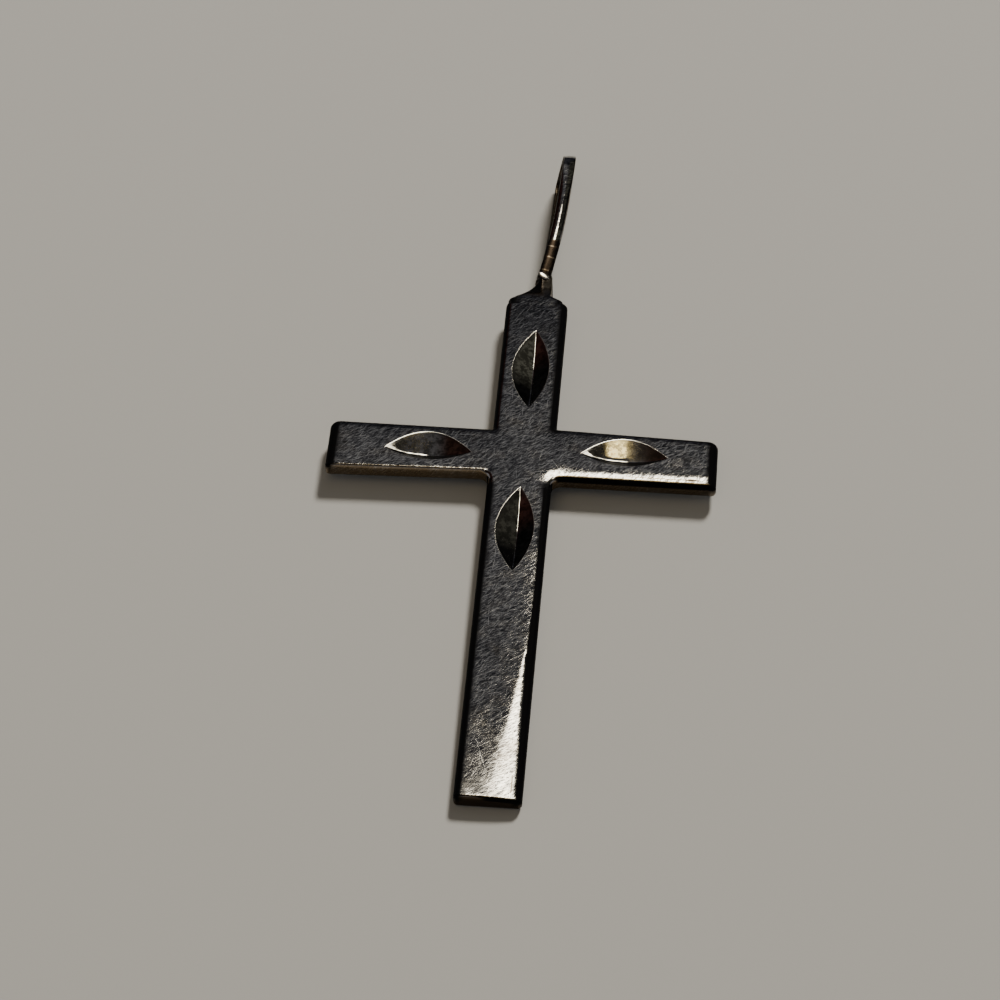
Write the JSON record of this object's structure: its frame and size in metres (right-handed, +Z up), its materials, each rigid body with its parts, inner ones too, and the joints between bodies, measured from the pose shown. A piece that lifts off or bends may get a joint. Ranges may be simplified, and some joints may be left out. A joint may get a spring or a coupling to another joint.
{
  "type": "cross pendant",
  "caption": "Latin cross pendant of polished silver with a bright-cut marquise on each arm and a narrow upright bail of domed strip.",
  "frame": {"origin": "centre of the bounding box on the surface that the pendant lies on, face up", "axes": "+Y along the upright towards the bail, +X along the right arm as seen from the face, +Z up out of the face"},
  "size_m": [0.02, 0.0442, 0.0028],
  "materials": {
    "silver": "polished silver, dulled by fine scratches and a thin dark tarnish, brighter in the cuts"
  },
  "bodies": {
    "root": {"cross_with_bail": "silver"}
  },
  "joints": []
}
